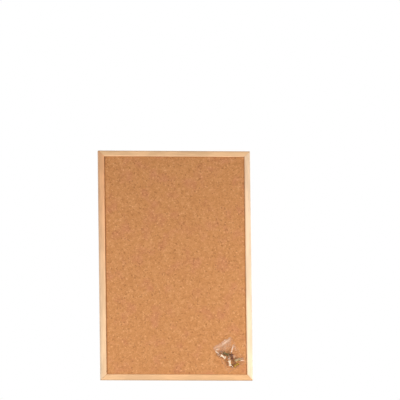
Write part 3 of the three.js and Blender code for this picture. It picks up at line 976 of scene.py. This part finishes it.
def glue_dot(material):
    """The sticky dot, pressed flat with a thin soft rim."""
    low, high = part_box("bag_dot")
    radius = (high.x - low.x) / 2
    tall = high.y - low.y
    centre = Vector(((low.x + high.x) / 2, high.y, (low.z + high.z) / 2))
    # Shares of the radius and of the height, from the foot's edge to the flat top
    profile = ((0.985, 0.0), (1.0, 0.35), (0.96, 0.7), (0.86, 0.92), (0.6, 1.0))
    points = []
    for reach, rise in profile:
        for k in range(DOT_SIDES):
            angle = 2 * math.pi * k / DOT_SIDES
            ripple = 1 + 0.02 * math.sin(3 * angle + 0.5) + 0.012 * math.sin(7 * angle)
            spoke = reach * radius * min(ripple, 1.0)
            points.append(centre + Vector((spoke * math.cos(angle), -rise * tall, spoke * math.sin(angle))))
    return new_piece("glue_dot", points, capped_faces(len(profile), DOT_SIDES), material)


class PINBOARD_OT_stage(bpy.types.Operator):
    """Sets the camera, the lamps, the pale floor and the white surround"""

    bl_idname = "pinboard.stage"
    bl_label = "Stage"

    def execute(self, context):
        scene = context.scene
        scene.view_settings.view_transform = "Standard"
        self.camera(scene)
        for name, place, side, power in LAMPS:
            self.lamp(scene, name, place, side, power)
        self.surround(scene)
        self.floor()
        return {"FINISHED"}

    def camera(self, scene):
        """A far camera with a long lens, a little left of the board and below it."""
        azimuth = math.radians(CAMERA_AZIMUTH)
        elevation = math.radians(CAMERA_ELEVATION)
        roll = math.radians(CAMERA_ROLL)
        towards = Vector((
            math.sin(azimuth) * math.cos(elevation),
            -math.cos(azimuth) * math.cos(elevation),
            math.sin(elevation),
        ))
        level = Vector((math.cos(azimuth), math.sin(azimuth), 0))
        plumb = towards.cross(level)
        right = math.cos(roll) * level + math.sin(roll) * plumb
        up = math.cos(roll) * plumb - math.sin(roll) * level
        aim = BOARD_MIDDLE + right * AIM_RIGHT + up * AIM_UP
        lens = bpy.data.cameras.new("camera")
        lens.sensor_width = CAMERA_SENSOR
        lens.lens = CAMERA_LENS
        camera = bpy.data.objects.new("camera", lens)
        turn = Matrix((right, up, towards)).transposed().to_4x4()
        camera.matrix_world = Matrix.Translation(aim + towards * CAMERA_DISTANCE) @ turn
        scene.collection.objects.link(camera)
        scene.camera = camera

    def lamp(self, scene, name, place, side, power):
        """A square lamp that faces the middle of the part's frame."""
        data = bpy.data.lights.new(name, "AREA")
        data.shape = "SQUARE"
        data.size = side
        data.energy = power
        lamp = bpy.data.objects.new(name, data)
        lamp.location = place
        lamp.rotation_euler = (-Vector(place)).to_track_quat("-Z", "Y").to_euler()
        lamp.visible_camera = False
        scene.collection.objects.link(lamp)

    def seen_rays(self, build):
        """1 for rays that show the surround to the camera, straight or by way of metal and film."""
        rays = build.node("ShaderNodeLightPath").outputs
        seen = build.math("MAXIMUM", rays["Is Camera Ray"], rays["Is Glossy Ray"])
        return build.math("MAXIMUM", seen, rays["Is Transmission Ray"])

    def surround(self, scene):
        """White where it is seen, and a soft grey light on the board."""
        world = bpy.data.worlds.new("white_surround")
        world.use_nodes = True
        scene.world = world
        build = Tree(world.node_tree)
        shader = world.node_tree.nodes["Background"]
        tone = build.mix(self.seen_rays(build), grey(SURROUND_LIGHT), grey(1))
        build.feed(shader.inputs["Color"], tone)
        shader.inputs["Strength"].default_value = 1.0

    def floor(self):
        """A wide pale floor, far below the board."""
        material, build, shader, place = new_material("pale_floor")
        speck = build.noise(place, 6.0, 3.0)
        build.feed(shader["Base Color"], build.mix(speck, grey(0.86), grey(0.9)))
        shader["Roughness"].default_value = 0.8
        glow = build.mix(self.seen_rays(build), grey(0), grey(FLOOR_GLOW))
        build.feed(shader["Emission Color"], glow)
        shader["Emission Strength"].default_value = 1.0
        reach = np.linspace(-FLOOR_REACH, FLOOR_REACH, FLOOR_POINTS)
        x, y = np.meshgrid(reach, reach)
        points = np.stack([x, y, np.full_like(x, FLOOR_LEVEL)], axis=-1).reshape(-1, 3)
        new_piece("floor", points, grid_faces(FLOOR_POINTS, FLOOR_POINTS), material)


class PINBOARD_OT_rails(bpy.types.Operator):
    """Finishes the four pine rails"""

    bl_idname = "pinboard.rails"
    bl_label = "Rails"

    def execute(self, context):
        colours = context.scene.pin_board_colours
        # Each rail: the tone at its upper or right end (on the side rails darker with painted shade), at
        # its other end, its rings, seed and painted shade on its outer side
        rails = (
            ("top", colours.pine, colours.pine, colours.pine_ring, 0.21, 0.0),
            ("bottom", colours.warm_pine, colours.soft_pine, colours.pine_ring, 1.37, 0.0),
            ("left", colours.heart_pine, colours.sap_pine, colours.pine_ring, 2.53, 1.0),
            ("right", colours.shaded_cream, colours.cream, colours.cream_ring, 3.11, 0.2),
        )
        for side, start, end, ring, seed, outer_shade in rails:
            dress(f"{side}_rail", pine_material(side, start, end, ring, seed, outer_shade))
        return {"FINISHED"}


class PINBOARD_OT_panel(bpy.types.Operator):
    """Makes the cork face and finishes the fibreboard behind it"""

    bl_idname = "pinboard.panel"
    bl_label = "Panel"

    def execute(self, context):
        seat(cork_sheet(cork_material()), "board", "cork", "cork_sheet")
        dress("core_board", fibreboard_material())
        return {"FINISHED"}


class PINBOARD_OT_fixings(bpy.types.Operator):
    """Finishes the corner nails and the panel points"""

    bl_idname = "pinboard.fixings"
    bl_label = "Nails and points"

    def execute(self, context):
        colours = context.scene.pin_board_colours
        steel = steel_material("dark_steel", colours.dark_steel, 0.34, 0.6, 4 * MM)
        for number in range(1, NAIL_COUNT + 1):
            dress(f"corner_nail_{number}", steel)
        for number in range(1, POINT_COUNT + 1):
            dress(f"panel_point_{number}", steel)
        return {"FINISHED"}


class PINBOARD_OT_hangers(bpy.types.Operator):
    """Finishes the hanger straps and screws, and bends the rings"""

    bl_idname = "pinboard.hangers"
    bl_label = "Hangers"

    def execute(self, context):
        colours = context.scene.pin_board_colours
        zinc = steel_material("zinc_steel", colours.zinc, 0.3, 0.5, 6 * MM)
        joints = {joint["name"]: Vector(joint["pos_m"]) for joint in frame["joints"]}
        for side in ("left", "right"):
            dress(f"{side}_hanger_strap", zinc)
            dress(f"{side}_hanger_screw", zinc)
            path, radius = ring_path(f"{side}_hanger_ring", joints[f"{side}_ring_swing"])
            ring = bent_wire(f"{side}_wire_ring", path, radius, zinc)
            seat(ring, f"{side}_ring", "zinc_steel", f"{side}_hanger_ring")
        return {"FINISHED"}


class PINBOARD_OT_pins(bpy.types.Operator):
    """Turns the push pins in the bag"""

    bl_idname = "pinboard.pins"
    bl_label = "Push pins"

    def execute(self, context):
        colours = context.scene.pin_board_colours
        plastics = {}
        for number, name in enumerate(("white", "yellow", "red", "green", "pale_green"), start=1):
            colour = getattr(colours, f"{name}_pin")
            plastics[name] = plastic_material(f"{name}_plastic", colour, number / 10)
        steel = steel_material("needle_steel", colours.zinc, 0.15, 0.3, 3 * MM)
        for number, (plastic, slot) in enumerate(PINS, start=1):
            pin = PinShape(number)
            head = turned(f"push_pin_{number}", pin.head_profile(), pin, HEAD_SIDES, plastics[plastic])
            seat(head, "pin_bag", slot, f"pin_head_{number}")
            needle = turned(f"push_pin_needle_{number}", pin.needle_profile(), pin, NEEDLE_SIDES, steel)
            seat(needle, "pin_bag", "zinc_steel", f"pin_needle_{number}")
        return {"FINISHED"}


class PINBOARD_OT_bag(bpy.types.Operator):
    """Drapes the clear bag over the pins and sticks it to the cork"""

    bl_idname = "pinboard.bag"
    bl_label = "Bag"

    def execute(self, context):
        pins = [PinShape(number) for number in range(1, len(PINS) + 1)]
        front, rear = bag_films(BagFrame(), pins, film_material())
        seat(front, "pin_bag", "clear_film", "bag_front_film")
        seat(rear, "pin_bag", "clear_film", "bag_back_film")
        seat(glue_dot(glue_material()), "pin_bag", "clear_glue", "bag_dot")
        return {"FINISHED"}


STEPS = (
    PINBOARD_OT_stage,
    PINBOARD_OT_rails,
    PINBOARD_OT_panel,
    PINBOARD_OT_fixings,
    PINBOARD_OT_hangers,
    PINBOARD_OT_pins,
    PINBOARD_OT_bag,
)


class PINBOARD_PT_steps(bpy.types.Panel):
    """Lists the steps that dress the board"""

    bl_idname = "PINBOARD_PT_steps"
    bl_label = "Pin board"
    bl_space_type = "VIEW_3D"
    bl_region_type = "UI"
    bl_category = "Pin board"

    def draw(self, context):
        for step in STEPS:
            self.layout.operator(step.bl_idname)


CLASSES = (PinBoardColours, PinBoardSizes) + STEPS + (PINBOARD_PT_steps,)


def register():
    for cls in CLASSES:
        bpy.utils.register_class(cls)
    bpy.types.Scene.pin_board_colours = PointerProperty(type=PinBoardColours)
    bpy.types.Scene.pin_board_sizes = PointerProperty(type=PinBoardSizes)


def unregister():
    del bpy.types.Scene.pin_board_sizes
    del bpy.types.Scene.pin_board_colours
    for cls in reversed(CLASSES):
        bpy.utils.unregister_class(cls)


def main():
    """Dresses the board step by step."""
    register()
    bpy.ops.pinboard.stage()
    bpy.ops.pinboard.rails()
    bpy.ops.pinboard.panel()
    bpy.ops.pinboard.fixings()
    bpy.ops.pinboard.hangers()
    bpy.ops.pinboard.pins()
    bpy.ops.pinboard.bag()


if __name__ == "__main__":
    main()
